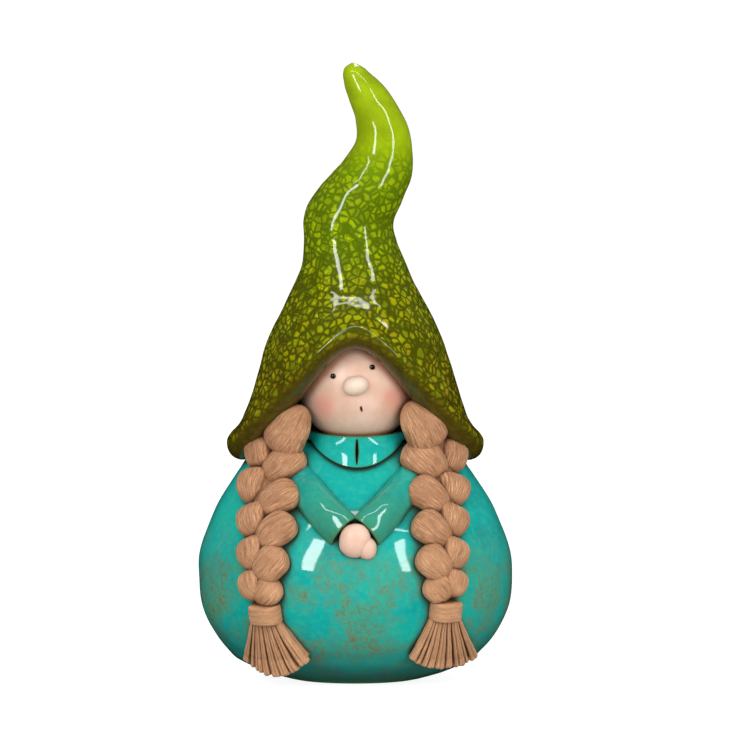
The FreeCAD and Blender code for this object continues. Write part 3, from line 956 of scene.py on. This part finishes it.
def make_tassel(side, name, material):
    """Tufts that fan out below the tie, cut off along a curve."""
    random = np.random.default_rng(11 + side)
    middle, low, rise = TASSEL_END[name]
    shells = []
    rings, around = 70, 26
    theta = np.linspace(0, TAU, around, endpoint=False)
    s = np.linspace(0, 1, rings)
    tufts = [(t, 0) for t in np.linspace(-1, 1, 15)] + [(t, 1) for t in np.linspace(-0.9, 0.9, 11)]
    for number, (t, layer) in enumerate(tufts):
        t = t + random.uniform(-0.05, 0.05)
        top_x = side * TIE[name][0] + TASSEL_TOP_HALF * t
        end_x = side * middle + TASSEL_END_HALF * t
        end_z = low + rise * t * t + 2 * layer + random.uniform(-0.6, 0.6)
        top_z = TIE[name][1] - 5.5
        x = top_x + (end_x - top_x) * s**1.08
        z = top_z + (end_z - top_z) * s
        depth = np.interp(s, (0, 1), (3.0, 4.5)) - 4.5 * layer + 2.0 * (1 - t * t) * (1 - layer)
        on_dress, outward = dress_place(x, np.maximum(z, TASSEL_FREE_Z))
        back = 0.5 * (TASSEL_FREE_Z - np.minimum(z, TASSEL_FREE_Z)) - 1.5 * s**2
        line = np.stack([on_dress[:, 0], on_dress[:, 1] + back, z], -1)
        line = line + outward * depth[:, None]
        along = unit(np.gradient(line, axis=0))
        across = unit(np.cross(along, outward))
        up = np.cross(across, along)
        wide = np.interp(s, (0, 0.5, 1), (1.5, 1.9, 2.5)) * (1.0 + 0.2 * random.uniform(-1, 1))
        thick = np.interp(s, (0, 0.5, 1), (3.4, 4.2, 4.0))
        end = np.where(s > 0.985, 0.82, 1.0)
        ring = (
            line[:, None]
            + across[:, None] * ((wide * end)[:, None] * np.cos(theta))[..., None]
            + up[:, None] * ((thick * end)[:, None] * np.sin(theta))[..., None]
        )
        comb = 0.5 + 0.5 * np.cos(7 * theta[None, :] + number + s[:, None] * 1.5)
        groove = step(0.6, 1.0, comb) * 0.55
        body = 0.25 * lumps(ring, 6, 70) - 0.45 * groove
        ring = ring + unit(ring - line[:, None]) * body[..., None]
        marks = {
            "groove": groove,
            "along": (s[:, None] * 36 + 0 * theta) * MM,
            "around": (np.abs(theta - math.pi)[None, :] * 3 + 0 * s[:, None] + 4.0 * number) * MM,
        }
        shells.append((ring, marks))
    make_piece(f"{name}_tassel_tufts", shells, material, [f"{name}_tassel"])


# Sleeves: share of the length, centre (three numbers), half width, half depth.
SLEEVE = (
    (0.0, 52, -29, 157, 12.5, 9.0),
    (0.3, 41, -48.5, 146.5, 13.5, 10.0),
    (0.6, 28, -73, 133, 13.2, 9.8),
    (0.88, 15.2, -87, 119.8, 13.6, 9.8),
    (1.0, 7.8, -92, 113.4, 14.0, 9.6),
)
# The cuff, over its lip and back up inside it: distance past the sleeve's end, change of size.
CUFF = ((0.25, -0.5), (0.45, -1.2), (0.4, -2.2), (-0.5, -3.1), (-4.0, -3.3), (-7.0, -3.6))
CUFF_BOTTOM = 7.2


def make_sleeve(side, name, material):
    """A tapered arm with a hollow cuff."""
    rings, around = 150, 110
    theta = np.linspace(0, TAU, around, endpoint=False)
    s = np.linspace(0, 1, rings)
    found = curve(SLEEVE, s)
    line = found[:, :3] * np.array((side, 1, 1))
    wide, thick = found[:, 3], found[:, 4]
    along = unit(np.gradient(line, axis=0))
    end, way = line[-1], along[-1]
    cuff = [end + way * past for past, _ in CUFF]
    line = np.concatenate([line, cuff, [end - way * CUFF_BOTTOM]])
    shrink = np.array([change for _, change in CUFF])
    wide = np.concatenate([wide, wide[-1] + shrink, [2.0]])
    thick = np.concatenate([thick, thick[-1] + shrink, [1.6]])
    along = np.concatenate([along, [way] * (len(CUFF) + 1)])
    across = unit(np.cross(along, np.array((0, -1.0, 0))))
    up = np.cross(across, along)
    ring = (
        line[:, None]
        + across[:, None] * (wide[:, None] * np.cos(theta))[..., None]
        + up[:, None] * (thick[:, None] * np.sin(theta))[..., None]
    )
    out = unit(ring - line[:, None])
    row = np.arange(len(line))[:, None]
    fade = step(rings, rings - 14, row)
    fold = 0.7 * lumps(ring, 22, 80, 2) * fade - 0.2
    ring = ring + out * fold[..., None]
    marks = {
        "edge": np.maximum(step(rings - 20, rings - 2, row), 0.7 * step(30, 130, row)) + 0 * theta,
        # Painted shade: the cuff's inside is marked to be painted near-black.
        "deep": step(rings + 2, rings + 4, row) + 0 * theta,
    }
    shells = [(ring, marks)]
    make_piece(f"{name}_sleeve_arm", shells, material, [f"{name}_sleeve"])


# The hands: name, centre, half sizes, turn in degrees, seed.
HANDS = (
    ("left", (0.0, -98, 108.3), (12.2, 9.0, 12.8), 24.0, 5),
    ("right", (7.4, -96.5, 102.3), (8.2, 8.5, 9.2), -35.0, 8),
)


def make_hands(material):
    """Two balls of clay, the right one mostly behind the left."""
    for name, centre, half, turn, seed in HANDS:
        grid = ball_grid(80, 110, half, centre, spin(turn))
        out = unit(grid - np.array(centre))
        grid = grid + out * (0.9 * lumps(grid, 11, seed) - 0.3)[..., None]
        zero = np.zeros(grid.shape[:2])
        blush = step(0.1, 0.7, lumps(grid, 9, 50)) * 0.25
        marks = {"blush": blush, "mouth": zero, "pale": zero}
        make_piece(f"{name}_hand_clay", [(grid, marks)], material, [f"{name}_hand"])


COLLAR_CENTRE = np.array((HEAD_CENTRE[0], -14.0, 0.0))
COLLAR_TOP_R = 35.0
COLLAR_TOP_Z = 180.6
COLLAR_BACK_Z = 174.0
COLLAR_WALL = 5.0
COLLAR_FLARE = 0.55
COLLAR_TIP = 4.8
COLLAR_STEPS = 12
# The bib's lower edge, the bottom of an ellipse: its lowest height, half width, half height.
BIB = (156.7, 50.0, 67.5)
# The slit: height of its middle, half height, half width.
SLIT = (167.3, 9.4, 1.6)
# Columns of points that line the slit, and those of them that are sunk to its bottom.
SLIT_COLUMNS = 9
SLIT_FLOOR_COLUMNS = 7
SLIT_DEPTH = 3.4


def make_collar(material):
    """A conical band tipped forwards, whose lower edge dips like a bib round a pointed slit."""
    around = 420
    angle = np.linspace(0, TAU, around, endpoint=False)
    angle = angle - 0.86 * np.sin(angle)
    top = COLLAR_TOP_Z - COLLAR_TOP_R * np.cos(angle) * math.tan(math.radians(COLLAR_TIP))
    foot = np.full(around, 165.0)
    bib_low, bib_half, bib_rise = BIB
    for _ in range(COLLAR_STEPS):
        radius = COLLAR_TOP_R + COLLAR_FLARE * (top - foot)
        across = np.clip(np.abs(radius * np.sin(angle)) / bib_half, 0, 0.999)
        bib = bib_low + bib_rise * (1 - np.sqrt(1 - across**2))
        foot = np.where(np.cos(angle) > 0, np.minimum(bib, COLLAR_BACK_Z), COLLAR_BACK_Z)
    h = np.linspace(0, 1, 46)
    bend = 0.8 * np.sin(h * math.pi)
    outer = np.stack([bend, h], -1)
    round_top = [(-0.7, 1.02), (-2.2, 1.035), (-3.8, 1.02)]
    inner = np.stack([bend - COLLAR_WALL, h], -1)[::-1]
    section = np.concatenate([outer, round_top, inner])
    offset, lift = section[:, 0][:, None], section[:, 1][:, None]
    z = foot + (top - foot) * lift
    radius = COLLAR_TOP_R + COLLAR_FLARE * (top - z) + offset
    slit_z, slit_rise, slit_half = SLIT
    gap = slit_half * np.clip(1 - ((z - slit_z) / slit_rise) ** 2, 0, 1) ** 0.7
    turn = np.arctan2(np.sin(angle), np.cos(angle))[None, :]
    # The columns are numbered from the slit's middle outwards.
    order = np.argsort(np.argsort(np.abs(turn[0]))).astype(float)[None, :]
    groove = order < SLIT_COLUMNS
    narrow = np.sign(turn) * np.maximum(gap, 0.12) * order / (SLIT_COLUMNS + 0.5) / radius
    pushed = np.sign(turn) * np.maximum(np.abs(turn), (gap + 0.14) / radius)
    pushed = np.where(groove, narrow, pushed)
    way = np.stack([-np.sin(pushed), -np.cos(pushed), 0 * pushed], -1)
    sunk = np.where(order < SLIT_FLOOR_COLUMNS, step(0.05, 0.5, gap), 0) * (offset > -1.0)
    radius = radius - SLIT_DEPTH * sunk
    points = COLLAR_CENTRE + way * radius[..., None]
    points[..., 2] = z
    points = points + way * (0.35 * lumps(points, 16, 90) - 0.1)[..., None]
    near = np.abs(pushed) * radius - gap
    rim = step(1.3, 0.4, near) * step(0.3, 0.8, gap)
    edge = np.maximum(step(0.9, 1.02, lift), 0.6 * rim)
    edge = np.maximum(edge, step(0.08, 0.0, lift)) + 0 * radius
    # Painted shade: the collar's inner wall and the slit's floor are marked to be painted
    # near-black.
    deep = step(-0.8, -2.0, offset) * step(1.0, 0.97, lift) + 0 * radius
    deep = np.maximum(deep, sunk)
    marks = {"edge": edge, "deep": deep}
    make_piece("collar_band", [(points, marks)], material, ["collar"], True)


def paint_node(node, material):
    """Give a CAD node this material and keep its shape."""
    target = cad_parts[node]
    target.data.materials.clear()
    target.data.materials.append(material)


hat_glaze = make_hat_glaze()
dress_glaze = make_dress_glaze()
hair = make_hair()
skin = make_skin()
black = make_black_glaze()
clay = make_bare_clay()

make_dress(dress_glaze)
make_hat(hat_glaze)
make_head(skin)
for side, name in SIDES:
    make_plait(side, name, hair)
    make_tie(side, name, hair)
    make_tassel(side, name, hair)
    make_sleeve(side, name, dress_glaze)
make_hands(skin)
make_collar(dress_glaze)
paint_node("left_eye", black)
paint_node("right_eye", black)
paint_node("base_slab", clay)

# ---- Studio -------------------------------------------------------------------------------

FLOOR_GLOW = 0.90
WORLD_LIGHT = 0.52
WORLD_SEEN = 1.2


def make_floor():
    """A floor that glows white. It is seen, but its glow isn't light on the figure."""
    p = Paint("floor")
    p.finish(p.mix(p.noise(0.4), (0.24, 0.24, 0.24), (0.26, 0.26, 0.26)), 0.9, None)
    p.shader.inputs["Emission Color"].default_value = (1, 1, 1, 1)
    p.shader.inputs["Emission Strength"].default_value = FLOOR_GLOW
    bpy.ops.mesh.primitive_plane_add(size=160.0)
    floor = bpy.context.object
    floor.name = "floor"
    floor.data.materials.append(p.material)
    floor.visible_diffuse = False
    floor.visible_glossy = False


def make_light(name, place, size, strength, soft):
    """A light box that is either soft light on the clay or a reflection in the glaze."""
    target = Vector((0, 0, 0.2))
    data = bpy.data.lights.new(name, "AREA")
    data.shape = "RECTANGLE"
    data.size, data.size_y = size
    distance = (Vector(place) - target).length
    area = size[0] * size[1]
    data.energy = strength * math.pi * (math.pi * distance**2 if soft else area)
    light = bpy.data.objects.new(name, data)
    light.location = place
    light.rotation_euler = (target - Vector(place)).to_track_quat("-Z", "Y").to_euler()
    light.visible_glossy = not soft
    light.visible_diffuse = soft
    bpy.context.scene.collection.objects.link(light)


# The lights: name, place, size, strength, and whether it is soft.
LIGHTS = (
    ("front_left", (-1.5, -2.6, 1.5), (1.8, 1.8), 0.44, True),
    ("front_right", (1.7, -2.5, 0.9), (1.8, 1.8), 0.42, True),
    ("front_low", (0.6, -3.0, 0.1), (1.8, 1.2), 0.26, True),
    ("top", (0.0, -0.8, 2.8), (1.8, 1.8), 0.20, True),
    ("back_left", (-2.0, 2.0, 1.0), (1.8, 1.8), 0.36, True),
    ("back_right", (2.0, 2.0, 1.0), (1.8, 1.8), 0.36, True),
    ("window_left", (-1.12, -1.72, 1.28), (0.34, 1.6), 16.0, False),
    ("window_right", (1.32, -1.54, 1.20), (0.24, 1.4), 14.0, False),
    ("window_top", (0.0, -0.9, 2.2), (2.6, 0.12), 12.0, False),
    ("window_back", (0.5, 1.5, 2.4), (0.3, 1.2), 12.0, False),
)


def make_studio():
    """A world that is brighter to the camera than to the figure, and the lights."""
    world = bpy.data.worlds.new("studio")
    world.use_nodes = True
    tree = world.node_tree
    dim = tree.nodes["Background"]
    dim.inputs["Color"].default_value = (1, 1, 1, 1)
    dim.inputs["Strength"].default_value = WORLD_LIGHT
    white = tree.nodes.new("ShaderNodeBackground")
    white.inputs["Color"].default_value = (1, 1, 1, 1)
    white.inputs["Strength"].default_value = WORLD_SEEN
    ray = tree.nodes.new("ShaderNodeLightPath")
    choose = tree.nodes.new("ShaderNodeMixShader")
    tree.links.new(ray.outputs["Is Camera Ray"], choose.inputs[0])
    tree.links.new(dim.outputs[0], choose.inputs[1])
    tree.links.new(white.outputs[0], choose.inputs[2])
    tree.links.new(choose.outputs[0], tree.nodes["World Output"].inputs["Surface"])
    bpy.context.scene.world = world
    world.cycles_visibility.glossy = False
    for light in LIGHTS:
        make_light(*light)


CAMERA_ELEVATION = math.radians(5.0)
CAMERA_DISTANCE = 16.0
CAMERA_AIM = (0.0118, 0.0, 0.2203)
SENSOR_WIDTH = 36.0
# How much the picture shows from side to side, in metres, at the figure.
VIEW_WIDTH = 0.5324338


def make_camera():
    data = bpy.data.cameras.new("camera")
    data.sensor_width = SENSOR_WIDTH
    data.lens = SENSOR_WIDTH * CAMERA_DISTANCE / VIEW_WIDTH
    camera = bpy.data.objects.new("camera", data)
    way = Vector((0, -math.cos(CAMERA_ELEVATION), math.sin(CAMERA_ELEVATION)))
    camera.location = Vector(CAMERA_AIM) + way * CAMERA_DISTANCE
    camera.rotation_euler = (-way).to_track_quat("-Z", "Y").to_euler()
    bpy.context.scene.collection.objects.link(camera)
    bpy.context.scene.camera = camera


make_floor()
make_studio()
make_camera()
bpy.context.scene.view_settings.view_transform = "Standard"
